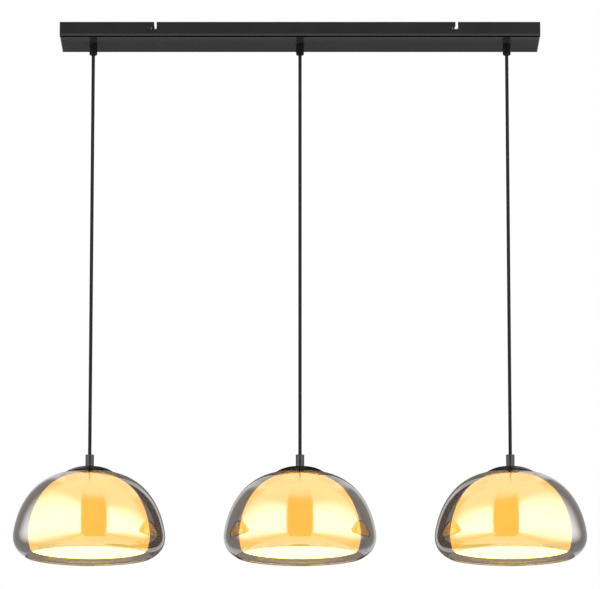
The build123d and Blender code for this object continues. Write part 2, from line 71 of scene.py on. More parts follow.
countKeys = ("steps", "resolution")  # plain counts among a piece's millimetres
weldGap = 0.001 * mm  # points closer than this become one


def middle(node):
    low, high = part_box(node)
    return (low + high) / 2


axisX = {side: middle("cord_" + side).x for side in sideNames}


# turned pieces and fasteners have their sizes in millimetres; this gives them in metres, without the counts
def inMetres(sizes):
    return {key: Vector(value) * mm if isinstance(value, tuple) else value * mm
            for key, value in sizes.items() if key not in countKeys}


def linkNew(name, data):
    made = bpy.data.objects.new(name, data)
    scene.collection.objects.link(made)
    return made


# the camera stands low and far away, and looks up at the bowls
photoView = {
    "away": 9.0,
    "below": 2.419,
    "tilt": 11.932,  # degrees up
    "focalPixels": 4863.0,
    "photoWidth": 600,
    "sensor": 36.0,
    "clipEnd": 100.0,
}


def makeCamera(view):
    lens = bpy.data.cameras.new("photoCamera")
    lens.sensor_width = view["sensor"]
    lens.lens = view["focalPixels"] / view["photoWidth"] * view["sensor"]
    lens.clip_end = view["clipEnd"]
    camera = linkNew("photoCamera", lens)
    camera.location = (0.0, -view["away"], -view["below"])
    camera.rotation_euler = (math.radians(90.0 + view["tilt"]), 0.0, 0.0)
    scene.camera = camera


makeCamera(photoView)
print("camera placed")


# node helpers, for finishes and Geometry Nodes trees alike
# inputs go by name or number: another node's output is linked, anything else is set
def setInputs(tree, node, values):
    for key, value in values.items():
        socket = node.inputs[key]
        if isinstance(value, bpy.types.NodeSocket):
            tree.links.new(value, socket)
        elif socket.type == "RGBA":
            socket.default_value = (*value, 1.0)
        else:
            socket.default_value = value


def addNode(tree, kind, values=None, **settings):
    node = tree.nodes.new(kind)
    for key, value in settings.items():
        setattr(node, key, value)
    setInputs(tree, node, values or {})
    return node


def mathStep(tree, operation, *values):
    return addNode(tree, "ShaderNodeMath", dict(enumerate(values)), operation=operation).outputs["Value"]


mixSockets = {"FLOAT": (2, 3, 0), "RGBA": (6, 7, 2)}  # a Mix node's inputs and result for each kind


def mixed(tree, kind, factor, low, high):
    lowInput, highInput, result = mixSockets[kind]
    values = {"Factor": factor, lowInput: low, highInput: high}
    return addNode(tree, "ShaderNodeMix", values, data_type=kind).outputs[result]


# finish helpers
def newFinish(name):
    finish = bpy.data.materials.new(name)
    finish.use_nodes = True
    return finish, finish.node_tree, finish.node_tree.nodes["Principled BSDF"]


evenStretch = (1.0, 1.0, 1.0)


def objectPlace(tree, stretch=evenStretch):
    place = addNode(tree, "ShaderNodeTexCoord").outputs["Object"]
    return addNode(tree, "ShaderNodeMapping", {"Vector": place, "Scale": stretch}).outputs["Vector"]


def splitPlace(tree):
    place = addNode(tree, "ShaderNodeTexCoord").outputs["Object"]
    return addNode(tree, "ShaderNodeSeparateXYZ", {"Vector": place}).outputs


broadDetail = 2.0
fineDetail = 3.0


def noiseAt(tree, place, scale, detail=broadDetail):
    noise = addNode(tree, "ShaderNodeTexNoise", {"Vector": place, "Scale": scale, "Detail": detail})
    return noise.outputs["Fac"]


wholeSpan = (0.0, 1.0)
noiseSpan = (0.3, 0.7)  # nearly all of a noise lies in here


def spread(tree, value, low, high, span=noiseSpan):
    start, end = span
    return addNode(tree, "ShaderNodeMapRange", {
        "Value": value, "From Min": start, "From Max": end, "To Min": low, "To Max": high}).outputs["Result"]


grainDepth = 0.1 * mm


def addBump(tree, shader, height, strength):
    bump = addNode(tree, "ShaderNodeBump", {"Height": height, "Strength": strength, "Distance": grainDepth})
    setInputs(tree, shader, {"Normal": bump.outputs["Normal"]})


plainIor = 1.45


# a finish with broad patches of colour, and a fine grain that varies the gloss and lifts the surface
def grainedFinish(name, look):
    finish, tree, shader = newFinish(name)
    place = objectPlace(tree, look.get("stretch", evenStretch))
    patches = spread(tree, noiseAt(tree, place, look["patchScale"]), 0.0, 1.0)
    grain = noiseAt(tree, place, look["grainScale"], fineDetail)
    setInputs(tree, shader, {
        "Base Color": mixed(tree, "RGBA", patches, look["dark"], look["light"]),
        "Roughness": spread(tree, grain, look["smooth"], look["dull"]),
        "Metallic": look.get("metallic", 0.0), "IOR": look.get("ior", plainIor)})
    addBump(tree, shader, grain, look["bump"])
    return finish


# the bar's coat has a painted highlight at the foot of its long walls, and painted shade as a dark line along
# the fold
barCoat = {
    "dark": (0.044, 0.042, 0.0425), "light": (0.053, 0.051, 0.051),
    "patchScale": 14.0, "grainScale": 900.0, "smooth": 0.12, "dull": 0.2, "bump": 0.03, "ior": 1.25,
    # painted highlight: the lip is a lighter band at the foot of the long walls
    "lip": (0.095, 0.092, 0.092), "lipRise": 5.0 * mm,
    # painted shade: a black line along the fold; the reach and edge serve both painted bands
    "paintedShadeLine": (0.001, 0.001, 0.001), "paintedShadeLineRise": 0.6 * mm, "paintedBandsReach": 7.0 * mm, "paintedBandsEdge": 0.3 * mm,
}


def makePowderCoat(look):
    finish = grainedFinish("powderCoat", look)
    tree = finish.node_tree
    shader = tree.nodes["Principled BSDF"]
    low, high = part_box("canopy_tray")
    place = splitPlace(tree)
    edge, inner = look["paintedBandsEdge"], high.y - look["paintedBandsReach"]
    nearWall = spread(tree, mathStep(tree, "ABSOLUTE", place["Y"]), 0.0, 1.0, (inner - edge, inner))
    coat = shader.inputs["Base Color"].links[0].from_socket
    # first the painted highlight on the lip, then the painted shade along the fold
    for tone in ("lip", "paintedShadeLine"):
        rise = low.z + look[tone + "Rise"]
        nearFloor = spread(tree, place["Z"], 1.0, 0.0, (rise, rise + edge))
        mask = mathStep(tree, "MULTIPLY", nearWall, nearFloor)
        coat = mixed(tree, "RGBA", mask, coat, look[tone])
    # the painted shade line, which is the last mask, is a black metal with a black tint, so it mirrors
    # nothing
    setInputs(tree, shader, {"Base Color": coat, "Metallic": mask, "Specular Tint": (0.0, 0.0, 0.0)})
    return finish


powderCoat = makePowderCoat(barCoat)
glossCoat = grainedFinish("glossCoat", {
    "dark": (0.016, 0.014, 0.012), "light": (0.02, 0.018, 0.016),
    "patchScale": 30.0, "grainScale": 700.0, "smooth": 0.1, "dull": 0.18, "bump": 0.03, "ior": 1.13})
sleeveCoat = grainedFinish("sleeveCoat", {
    "dark": (0.024, 0.024, 0.024), "light": (0.032, 0.032, 0.032),
    "patchScale": 60.0, "grainScale": 900.0, "smooth": 0.2, "dull": 0.28, "bump": 0.04, "ior": 1.4})
gripPlastic = grainedFinish("gripPlastic", {
    "dark": (0.003, 0.003, 0.0032), "light": (0.006, 0.006, 0.0062),
    "patchScale": 60.0, "grainScale": 2500.0, "smooth": 0.4, "dull": 0.5, "bump": 0.1, "ior": 1.2})
holderPlastic = grainedFinish("holderPlastic", {
    "dark": (0.01, 0.01, 0.01), "light": (0.016, 0.016, 0.016),
    "patchScale": 60.0, "grainScale": 2500.0, "smooth": 0.35, "dull": 0.5, "bump": 0.1})
screwOxide = grainedFinish("screwOxide", {
    "dark": (0.012, 0.012, 0.013), "light": (0.03, 0.03, 0.032), "metallic": 0.6,
    "patchScale": 300.0, "grainScale": 2000.0, "smooth": 0.28, "dull": 0.42, "bump": 0.08})
softRubber = grainedFinish("softRubber", {
    "dark": (0.012, 0.012, 0.012), "light": (0.022, 0.022, 0.022),
    "patchScale": 80.0, "grainScale": 1800.0, "smooth": 0.6, "dull": 0.75, "bump": 0.12})
whitePlastic = grainedFinish("whitePlastic", {
    "dark": (0.66, 0.65, 0.62), "light": (0.74, 0.73, 0.70),
    "patchScale": 40.0, "grainScale": 1500.0, "smooth": 0.35, "dull": 0.45, "bump": 0.08})
turnedBrass = grainedFinish("turnedBrass", {
    "dark": (0.52, 0.36, 0.14), "light": (0.66, 0.48, 0.22), "metallic": 1.0, "stretch": (1.0, 1.0, 8.0),
    "patchScale": 80.0, "grainScale": 900.0, "smooth": 0.18, "dull": 0.32, "bump": 0.05})
nickelPlate = grainedFinish("nickelPlate", {
    "dark": (0.5, 0.5, 0.49), "light": (0.66, 0.65, 0.64), "metallic": 1.0, "stretch": (1.0, 1.0, 8.0),
    "patchScale": 80.0, "grainScale": 900.0, "smooth": 0.15, "dull": 0.28, "bump": 0.05})

# zinc plate shows its spangle: flat crystals that differ a little in tone and gloss
zincLook = {
    "spangle": 260.0, "dark": (0.42, 0.43, 0.45), "light": (0.62, 0.63, 0.64),
    "smooth": 0.26, "dull": 0.46, "grainScale": 1800.0, "bump": 0.06,
}


def makeZincPlate(look):
    finish, tree, shader = newFinish("zincPlate")
    place = objectPlace(tree)
    cells = addNode(tree, "ShaderNodeTexVoronoi", {"Vector": place, "Scale": look["spangle"]})
    tone = addNode(tree, "ShaderNodeSeparateColor", {"Color": cells.outputs["Color"]}).outputs
    setInputs(tree, shader, {
        "Base Color": mixed(tree, "RGBA", tone["Red"], look["dark"], look["light"]),
        "Roughness": spread(tree, tone["Green"], look["smooth"], look["dull"], wholeSpan), "Metallic": 1.0})
    addBump(tree, shader, noiseAt(tree, place, look["grainScale"]), look["bump"])
    return finish


zincPlate = makeZincPlate(zincLook)

# smoked glass, mirror-like through its high index: the tint is what one wall lets through
smokeLook = {"tint": (0.28, 0.232, 0.196), "ior": 2.5, "clear": 0.0, "hazy": 0.012, "waverScale": 9.0}


def makeSmokeGlass(look):
    finish, tree, shader = newFinish("smokeGlass")
    waver = noiseAt(tree, objectPlace(tree), look["waverScale"])
    setInputs(tree, shader, {
        "Base Color": look["tint"], "Transmission Weight": 1.0, "IOR": look["ior"],
        "Roughness": spread(tree, waver, look["clear"], look["hazy"])})
    return finish


smokeGlass = makeSmokeGlass(smokeLook)

# cased glass, which the bulb lights from inside: that light is painted on as a glow, amber outside and opal
# inside, told apart by the outline's run
casedLook = {
    "amberGlow": (5.25, 2.95, 0.32), "opalGlow": (3.4, 2.8, 0.72),
    "amberBody": (0.6, 0.34, 0.08), "opalBody": (0.15, 0.13, 0.1),
    "lipRun": (0.495, 0.505), "cloud": (0.97, 1.05), "cloudScale": 12.0, "smooth": 0.22, "dull": 0.34,
}


def makeCasedGlass(look):
    finish, tree, shader = newFinish("casedGlass")
    cloud = noiseAt(tree, objectPlace(tree), look["cloudScale"])
    run = addNode(tree, "ShaderNodeAttribute", attribute_name="outlineRun").outputs["Fac"]
    within = spread(tree, run, 0.0, 1.0, look["lipRun"])
    setInputs(tree, shader, {
        "Base Color": mixed(tree, "RGBA", within, look["amberBody"], look["opalBody"]),
        "Emission Color": mixed(tree, "RGBA", within, look["amberGlow"], look["opalGlow"]),
        "Emission Strength": spread(tree, cloud, *look["cloud"]),
        "Roughness": spread(tree, cloud, look["smooth"], look["dull"])})
    return finish


casedGlass = makeCasedGlass(casedLook)

# frosted bulb
bulbLook = {
    "glow": (1.0, 0.8, 0.52), "strength": 2.5, "body": (0.9, 0.88, 0.82),
    "frostScale": 900.0, "smooth": 0.4, "dull": 0.6, "bump": 0.1,
}


def makeBulbGlass(look):
    finish, tree, shader = newFinish("bulbGlass")
    frost = noiseAt(tree, objectPlace(tree), look["frostScale"])
    setInputs(tree, shader, {
        "Base Color": look["body"], "Emission Color": look["glow"], "Emission Strength": look["strength"],
        "Roughness": spread(tree, frost, look["smooth"], look["dull"])})
    addBump(tree, shader, frost, look["bump"])
    return finish


bulbGlass = makeBulbGlass(bulbLook)

# cord sheath: satin black with faint drawn streaks that run along it
sheathLook = {
    "dark": (0.048, 0.048, 0.049), "light": (0.054, 0.054, 0.055), "ior": 1.02,
    "smooth": 0.46, "dull": 0.52, "streakTurns": 24.0, "streakRun": 12.0, "streakScale": 1.0, "bump": 0.02,
}


def makeCordSheath(look):
    finish, tree, shader = newFinish("cordSheath")
    run = addNode(tree, "ShaderNodeAttribute", attribute_name="runAlong").outputs["Fac"]
    turn = addNode(tree, "ShaderNodeAttribute", attribute_name="turnRound").outputs["Fac"]
    place = addNode(tree, "ShaderNodeCombineXYZ", {"X": turn, "Y": run})
    mapping = addNode(tree, "ShaderNodeMapping", {
        "Vector": place.outputs["Vector"], "Scale": (look["streakTurns"], look["streakRun"], 1.0)})
    streaks = noiseAt(tree, mapping.outputs["Vector"], look["streakScale"], fineDetail)
    setInputs(tree, shader, {
        "Base Color": mixed(tree, "RGBA", streaks, look["dark"], look["light"]),
        "Roughness": spread(tree, streaks, look["smooth"], look["dull"]), "IOR": look["ior"]})
    addBump(tree, shader, streaks, look["bump"])
    return finish


cordSheath = makeCordSheath(sheathLook)

# earth lead: green insulation with yellow stripes along it
earthLook = {
    "green": (0.03, 0.22, 0.03), "yellow": (0.7, 0.5, 0.02), "stripes": 2.0, "edge": 0.06,
    "scuffScale": 500.0, "smooth": 0.35, "dull": 0.5,
}


def makeEarthSheath(look):
    finish, tree, shader = newFinish("earthSheath")
    turn = addNode(tree, "ShaderNodeAttribute", attribute_name="turnRound").outputs["Fac"]
    wave = mathStep(tree, "SINE", mathStep(tree, "MULTIPLY", turn, look["stripes"] * math.tau))
    stripe = spread(tree, wave, 0.0, 1.0, (-look["edge"], look["edge"]))
    scuff = noiseAt(tree, objectPlace(tree), look["scuffScale"])
    setInputs(tree, shader, {
        "Base Color": mixed(tree, "RGBA", stripe, look["green"], look["yellow"]),
        "Roughness": spread(tree, scuff, look["smooth"], look["dull"])})
    return finish


earthSheath = makeEarthSheath(earthLook)
print("finishes ready")


# Geometry Nodes helpers
creases = {"sheath": 50.0, "turned": 35.0, "screw": 30.0, "nut": 20.0}  # degrees past which an edge is sharp


def newTree(name, sockets):
    tree = bpy.data.node_groups.new(name, "GeometryNodeTree")
    tree.interface.new_socket("Geometry", in_out="INPUT", socket_type="NodeSocketGeometry")
    tree.interface.new_socket("Geometry", in_out="OUTPUT", socket_type="NodeSocketGeometry")
    for label, kind in sockets.items():
        tree.interface.new_socket(label, in_out="INPUT", socket_type="NodeSocket" + kind)
    return tree, addNode(tree, "NodeGroupInput").outputs, addNode(tree, "NodeGroupOutput")


# smooth faces with creases kept sharp, then real geometry with its finish, to the tree's output
def endTree(tree, start, end, geometry, crease):
    smooth = addNode(tree, "GeometryNodeSetShadeSmooth", {"Geometry": geometry}, domain="FACE")
    angle = addNode(tree, "GeometryNodeInputMeshEdgeAngle").outputs["Unsigned Angle"]
    sharp = addNode(tree, "FunctionNodeCompare", {0: angle, 1: math.radians(crease)}, data_type="FLOAT",
                    operation="GREATER_THAN")
    edges = addNode(tree, "GeometryNodeSetShadeSmooth", {
        "Geometry": smooth.outputs["Geometry"], "Selection": sharp.outputs["Result"], "Shade Smooth": False},
        domain="EDGE")
    real = addNode(tree, "GeometryNodeRealizeInstances", {"Geometry": edges.outputs["Geometry"]})
    coated = addNode(tree, "GeometryNodeSetMaterial", {
        "Geometry": real.outputs["Geometry"], "Material": start["Finish"]})
    setInputs(tree, end, {"Geometry": coated.outputs["Geometry"]})


# keeps each point's place along its curve as a named attribute
def keepRun(tree, curve, name, measure):
    run = addNode(tree, "GeometryNodeSplineParameter").outputs[measure]
    return addNode(tree, "GeometryNodeStoreNamedAttribute", {
        "Geometry": curve, "Name": name, "Value": run}, data_type="FLOAT").outputs["Geometry"]


def evaluatedMesh(source):
    bpy.context.view_layer.update()
    graph = bpy.context.evaluated_depsgraph_get()
    return bpy.data.meshes.new_from_object(source.evaluated_get(graph))


# a tree's result as a plain mesh piece; its source object goes
def growPiece(source, tree, values, pieceName):
    modifier = source.modifiers.new(tree.name, "NODES")
    modifier.node_group = tree
    for item in tree.interface.items_tree:
        if item.item_type == "SOCKET" and item.in_out == "INPUT" and item.name in values:
            modifier[item.identifier] = values[item.name]
    mesh = evaluatedMesh(source)
    mesh.name = pieceName
    bpy.data.objects.remove(source)
    shell = bmesh.new()
    shell.from_mesh(mesh)
    bmesh.ops.remove_doubles(shell, verts=shell.verts, dist=weldGap)
    bmesh.ops.recalc_face_normals(shell, faces=shell.faces)
    shell.to_mesh(mesh)
    shell.free()
    return linkNew(pieceName, mesh)


def settle(piece, body, slotName, *nodes):
    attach(piece, body)
    if nodes:
        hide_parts(*nodes)


def newSpline(name, kind, resolution):
    line = bpy.data.curves.new(name, "CURVE")
    line.dimensions = "3D"
    line.resolution_u = resolution
    return linkNew(name, line), line.splines.new(kind)


# a tube along a route, with its run and turn kept as attributes for the sheath's pattern
def makeSheathTree():
    tree, start, end = newTree("sheathTree", {"Radius": "Float", "Sides": "Int", "Finish": "Material"})
    line = addNode(tree, "GeometryNodeResampleCurve", {"Curve": start["Geometry"]}, mode="EVALUATED")
    ring = addNode(tree, "GeometryNodeCurvePrimitiveCircle", {
        "Radius": start["Radius"], "Resolution": start["Sides"]})
    tube = addNode(tree, "GeometryNodeCurveToMesh", {
        "Curve": keepRun(tree, line.outputs["Curve"], "runAlong", "Length"),
        "Profile Curve": keepRun(tree, ring.outputs["Curve"], "turnRound", "Factor"), "Fill Caps": True})
    endTree(tree, start, end, tube.outputs["Mesh"], creases["sheath"])
    return tree


sheathTree = makeSheathTree()
routeResolution = 12


def routeCurve(name, points):
    route, spline = newSpline(name, "NURBS", routeResolution)
    spline.points.add(len(points) - 1)
    for knot, place in zip(spline.points, points):
        knot.co = (*place, 1.0)
    spline.order_u = 3
    spline.use_endpoint_u = True
    return route


def routePoints(route):
    mesh = evaluatedMesh(route)
    points = [vertex.co.copy() for vertex in mesh.vertices]
    bpy.data.meshes.remove(mesh)
    return points


# a cord's tube, and the points of the smooth line that it follows
def drawCord(pieceName, places, sizes, finish):
    route = routeCurve(pieceName + "_route", places)
    points = routePoints(route)
    cord = growPiece(route, sheathTree, {
        "Radius": sizes["diameter"] / 2, "Sides": sizes["sides"], "Finish": finish}, pieceName)
    return cord, points


# pendant cords: straight from the grip's mouth into the sleeve, drawn up with the height slide
pendantCord = {"diameter": 6.4 * mm, "pivotRise": 2.0 * mm, "sides": 24, "draw": 0.4}


def makePendantCords(sizes):
    for side in sideNames:
        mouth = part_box("cord_grip_" + side)[0].z
        pivot = Vector((axisX[side], 0.0, mouth + sizes["pivotRise"]))
        tail = Vector((axisX[side], 0.0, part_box("cord_" + side)[0].z))
        places = [pivot, pivot.lerp(tail, 0.5), tail]
        cord, points = drawCord("pendantCord_" + side, places, sizes, cordSheath)
        settle(cord, "cord_" + side, "cord_sheath", "cord_" + side)
        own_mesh(cord)


makePendantCords(pendantCord)
print("pendant cords hung")

# inner leads: from the stems along the tray's floor to the junction box
# the points are the part's own, in millimetres
leadRoutes = {
    "left": [(-395.0, 0, -44.5), (-395.0, 0, -9.3), (-352.0, 10, -16.25), (-290.3, 21, -23.2),
             (-212.1, 15, -23.2), (-135.1, 25, -23.2), (-62.0, 19, -23.2), (0, 24, -23.2),
             (34, 15, -21.25), (54, 11, -19.3), (76, 11, -19.3)],
    "centre": [(0, 0, -44.5), (0, 0, -9.3), (26, -4, -12.25), (50, -11, -19.3), (76, -11, -19.3)],
    "right": [(395.0, 0, -44.5), (395.0, 0, -9.3), (352.0, -10, -16.25), (291.9, -21, -23.2),
              (227.9, -14, -23.2), (184, -3, -21.25), (158, 0, -19.3), (134, 0, -19.3)],
}
innerLead = {"diameter": 6.4 * mm, "sides": 20}

# earth lead: from the junction box to the earth stud, in millimetres too
earthRoute = [(134, -13, -19.3), (151, -13, -19.3), (164, -17, -22.25), (169.66, -28, -25.2),
              (175.66, -32, -25.2)]
earthLead = {"diameter": 2.2 * mm, "sides": 16}


def layLead(pieceName, node, slotName, route, sizes, finish):
    lead, points = drawCord(pieceName, [Vector(place) * mm for place in route], sizes, finish)
    settle(lead, "canopy", slotName, node)


for side, route in leadRoutes.items():
    layLead("innerLead_" + side, "inner_lead_" + side, "cord_sheath", route, innerLead, cordSheath)
layLead("earthLead", "earth_lead", "earth_core", earthRoute, earthLead, earthSheath)
print("inner leads laid")

# turned pieces: an outline of radius and height, swept once round its axis
hubRadius = 1.0 * mm  # of the ring that the outline goes round on, and taken off the outline's radius


def sweepOutline(tree, start):
    hub = start["Hub"]
    step = addNode(tree, "ShaderNodeCombineXYZ", {"X": mathStep(tree, "MULTIPLY", hub, -1.0)})
    inward = addNode(tree, "GeometryNodeTransform", {
        "Geometry": keepRun(tree, start["Geometry"], "outlineRun", "Factor"),
        "Translation": step.outputs["Vector"]})
    ring = addNode(tree, "GeometryNodeCurvePrimitiveCircle", {"Radius": hub, "Resolution": start["Steps"]})
    steady = addNode(tree, "GeometryNodeSetCurveNormal", {"Curve": ring.outputs["Curve"]}, mode="Z_UP")
    sweep = addNode(tree, "GeometryNodeCurveToMesh", {
        "Curve": steady.outputs["Curve"], "Profile Curve": inward.outputs["Geometry"]})
    weld = addNode(tree, "GeometryNodeMergeByDistance", {
        "Geometry": sweep.outputs["Mesh"], "Distance": weldGap})
    return weld.outputs["Geometry"]


def makeTurnedTree():
    tree, start, end = newTree("turnedTree", {
        "Hub": "Float", "Steps": "Int", "Centre": "Vector", "Finish": "Material"})
    place = addNode(tree, "GeometryNodeTransform", {
        "Geometry": sweepOutline(tree, start), "Translation": start["Centre"]})
    endTree(tree, start, end, place.outputs["Geometry"], creases["turned"])
    return tree


turnedTree = makeTurnedTree()


# anchors are (point, handle in, handle out) as radius and height; no handle means a straight run
def outlineCurve(name, anchors, closed, resolution):
    outline, spline = newSpline(name, "BEZIER", resolution)
    spline.bezier_points.add(len(anchors) - 1)
    spline.use_cyclic_u = closed
    for knot, (point, into, out) in zip(spline.bezier_points, anchors):
        knot.co = (point[0], -point[1], 0.0)
        knot.handle_left_type = "FREE" if into else "VECTOR"
        knot.handle_right_type = "FREE" if out else "VECTOR"
        if into:
            knot.handle_left = (into[0], -into[1], 0.0)
        if out:
            knot.handle_right = (out[0], -out[1], 0.0)
    return outline


roundHandle = 0.5523  # handle share of a corner's run that makes a quarter round


# handle length over radius for an arc of this turn
def arcHandle(turn):
    return 4.0 / 3.0 * math.tan(turn / 4)


def straightAnchors(corners):
    return [(Vector(corner), None, None) for corner in corners]


# corners are (radius, height, rounding); each rounding takes that much of both runs
def roundedAnchors(corners):
    anchors = []
    for index, (radius, height, rounding) in enumerate(corners):
        here = Vector((radius, height))
        if rounding == 0.0:
            anchors.append((here, None, None))
            continue
        before = Vector(corners[index - 1][:2])
        after = Vector(corners[(index + 1) % len(corners)][:2])
        first = here + (before - here).normalized() * rounding
        last = here + (after - here).normalized() * rounding
        anchors.append((first, None, first.lerp(here, roundHandle)))
        anchors.append((last, last.lerp(here, roundHandle), None))
    return anchors


def turnPiece(pieceName, anchors, centre, sizes, finish):
    outline = outlineCurve(pieceName + "_outline", anchors, True, sizes["resolution"])
    return growPiece(outline, turnedTree, {
        "Hub": hubRadius, "Steps": sizes["steps"], "Centre": (*centre, 0.0), "Finish": finish}, pieceName)


# both glasses: a flat seat round the hole, one curve to the widest ring, one in to the rim
outerBowl = {
    "height": 159.0, "radius": 142.7, "widestRise": 37.7, "sidePull": 5.0, "crownPull": 113.0,
    "rimRadius": 119.4, "rimFlare": 16.8, "rimPull": 9.4, "tuckPull": 16.0, "wall": 3.0,
    "hole": 7.0, "seat": 20.0, "steps": 160, "resolution": 40,
}
innerShade = {
    "height": 141.5, "radius": 113.4, "widestRise": 31.0, "sidePull": 26.0, "crownPull": 76.0,
    "rimRadius": 109.3, "rimFlare": 2.7, "rimPull": 9.0, "tuckPull": 10.0, "wall": 3.0,
    "hole": 7.0, "seat": 20.0, "steps": 128, "resolution": 32,
}


def bowlAnchors(sizes, topZ):
    size = inMetres(sizes)
    rimZ = topZ - size["height"]
    widestZ = rimZ + size["widestRise"]
    wall = size["wall"]
    flare = Vector((size["rimFlare"], size["rimPull"]))
    along = flare.normalized()
    outerRim = Vector((size["rimRadius"], rimZ))
    innerRim = outerRim + Vector((-along.y, along.x)) * wall
    lip = along * arcHandle(math.pi) * wall / 2
    tuckIn = widestZ - size["tuckPull"] + wall * along.x
    inside = size["radius"] - wall
    return [
        (Vector((size["hole"], topZ)), None, None),
        (Vector((size["seat"], topZ)), None, (size["seat"] + size["crownPull"], topZ)),
        (Vector((size["radius"], widestZ)), (size["radius"], widestZ + size["sidePull"]),
         (size["radius"], widestZ - size["tuckPull"])),
        (outerRim, outerRim + flare, outerRim - lip),
        (innerRim, innerRim - lip, innerRim + flare),
        (Vector((inside, widestZ)), (inside, tuckIn), (inside, widestZ + size["sidePull"])),
        (Vector((size["seat"], topZ - wall)), (size["seat"] + size["crownPull"] - wall, topZ - wall), None),
        (Vector((size["hole"], topZ - wall)), None, None),
    ]


def makeGlasses():
    for side in sideNames:
        for node, name, sizes, finish, slotName in (
                ("outer_glass_", "smokedBowl_", outerBowl, smokeGlass, "smoke_glass"),
                ("inner_glass_", "opalShade_", innerShade, casedGlass, "opal_glass")):
            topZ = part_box(node + side)[1].z
            glass = turnPiece(name + side, bowlAnchors(sizes, topZ), (axisX[side], 0.0), sizes, finish)
            settle(glass, "pendant_" + side, slotName, node + side)


makeGlasses()
print("bowls and shades turned")

# spun cap: flat in the middle, one arc down to a rolled edge
spunCap = {
    "radius": 45.5, "drop": 10.0, "flat": 14.0, "sheet": 1.0, "hole": 5.05, "steps": 128, "resolution": 16,
}
rollShare = 0.6  # the rolled edge is flatter than a half round


def capAnchors(sizes, topZ):
    size = inMetres(sizes)
    reach = size["radius"] - size["flat"]
    arcRadius = (reach ** 2 + size["drop"] ** 2) / (2 * size["drop"])
    turn = math.acos(1 - size["drop"] / arcRadius)
    slope = Vector((math.cos(turn), -math.sin(turn)))
    inward = Vector((-math.sin(turn), -math.cos(turn))) * size["sheet"]
    edge = Vector((size["radius"], topZ - size["drop"]))
    innerEdge = edge + inward
    roll = slope * arcHandle(math.pi) * size["sheet"] / 2 * rollShare
    under = topZ - size["sheet"]
    outerPull = arcHandle(turn) * arcRadius
    innerPull = arcHandle(turn) * (arcRadius - size["sheet"])
    return [
        (Vector((size["hole"], under)), None, None),
        (Vector((size["hole"], topZ)), None, None),
        (Vector((size["flat"], topZ)), None, (size["flat"] + outerPull, topZ)),
        (edge, edge - slope * outerPull, edge + roll),
        (innerEdge, innerEdge + roll, innerEdge - slope * innerPull),
        (Vector((size["flat"], under)), (size["flat"] + innerPull, under), None),
    ]


# sleeve over the cord's end, with an eased top edge
cordSleeve = {
    "radius": 8.0, "topBore": 3.55, "threadBore": 5.05, "threadLength": 9.5, "ease": 0.8, "foot": 0.3,
    "steps": 96, "resolution": 8,
}


def sleeveAnchors(sizes, topZ, lowZ):
    size = inMetres(sizes)
    threadTop = lowZ + size["threadLength"]
    return roundedAnchors([
        (size["topBore"], topZ, 0.0), (size["radius"], topZ, size["ease"]),
        (size["radius"], lowZ, size["foot"]), (size["threadBore"], lowZ, 0.0),
        (size["threadBore"], threadTop, 0.0), (size["topBore"], threadTop, 0.0)])


def makePendantTops():
    for side in sideNames:
        centre = (axisX[side], 0.0)
        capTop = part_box("shade_cap_" + side)[1].z
        cap = turnPiece("spunCap_" + side, capAnchors(spunCap, capTop), centre, spunCap, glossCoat)
        settle(cap, "pendant_" + side, "black_powder_coat", "shade_cap_" + side)
        low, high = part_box("cord_sleeve_" + side)
        outline = sleeveAnchors(cordSleeve, high.z, low.z)
        sleeve = turnPiece("cordSleeve_" + side, outline, centre, cordSleeve, sleeveCoat)
        settle(sleeve, "pendant_" + side, "black_powder_coat", "cord_sleeve_" + side)


makePendantTops()
print("caps and sleeves turned")


# fasteners: one turned and cut, then a copy on each marked point, turned the way the point faces
def setOnPlaces(tree, start, shape):
    places = addNode(tree, "GeometryNodeObjectInfo", {"Object": start["Places"]})
    facing = addNode(tree, "GeometryNodeInputNamedAttribute", {"Name": "facing"}, data_type="FLOAT_VECTOR")
    turn = addNode(tree, "FunctionNodeAlignRotationToVector", {
        "Vector": facing.outputs["Attribute"]}, axis="Z")
    copies = addNode(tree, "GeometryNodeInstanceOnPoints", {
        "Points": places.outputs["Geometry"], "Instance": shape, "Rotation": turn.outputs["Rotation"]})
    return copies.outputs["Instances"]


# a screw: its outline, less the two bars that make its cross or slot
def makeScrewTree():
    tree, start, end = newTree("screwTree", {
        "Hub": "Float", "Steps": "Int", "Places": "Object", "Bar": "Vector", "Cross Bar": "Vector",
        "Top": "Vector", "Finish": "Material"})
    cut = addNode(tree, "GeometryNodeMeshBoolean", {"Mesh 1": sweepOutline(tree, start)},
                  operation="DIFFERENCE", solver="EXACT")
    for barName in ("Bar", "Cross Bar"):
        bar = addNode(tree, "GeometryNodeMeshCube", {"Size": start[barName]})
        lift = addNode(tree, "GeometryNodeTransform", {
            "Geometry": bar.outputs["Mesh"], "Translation": start["Top"]})
        setInputs(tree, cut, {"Mesh 2": lift.outputs["Geometry"]})
    endTree(tree, start, end, setOnPlaces(tree, start, cut.outputs["Mesh"]), creases["screw"])
    return tree


# a nut: its chamfered ring, cut to six sides
def makeNutTree():
    tree, start, end = newTree("nutTree", {
        "Hub": "Float", "Steps": "Int", "Places": "Object", "Corner": "Float", "Tall": "Float",
        "Finish": "Material"})
    prism = addNode(tree, "GeometryNodeMeshCylinder", {
        "Vertices": 6, "Radius": start["Corner"], "Depth": start["Tall"]})
    cut = addNode(tree, "GeometryNodeMeshBoolean", {"Mesh 2": sweepOutline(tree, start)},
                  operation="INTERSECT", solver="EXACT")
    setInputs(tree, cut, {"Mesh 2": prism.outputs["Mesh"]})
    endTree(tree, start, end, setOnPlaces(tree, start, cut.outputs["Mesh"]), creases["nut"])
    return tree


screwTree = makeScrewTree()
nutTree = makeNutTree()
fastenerResolution = 6


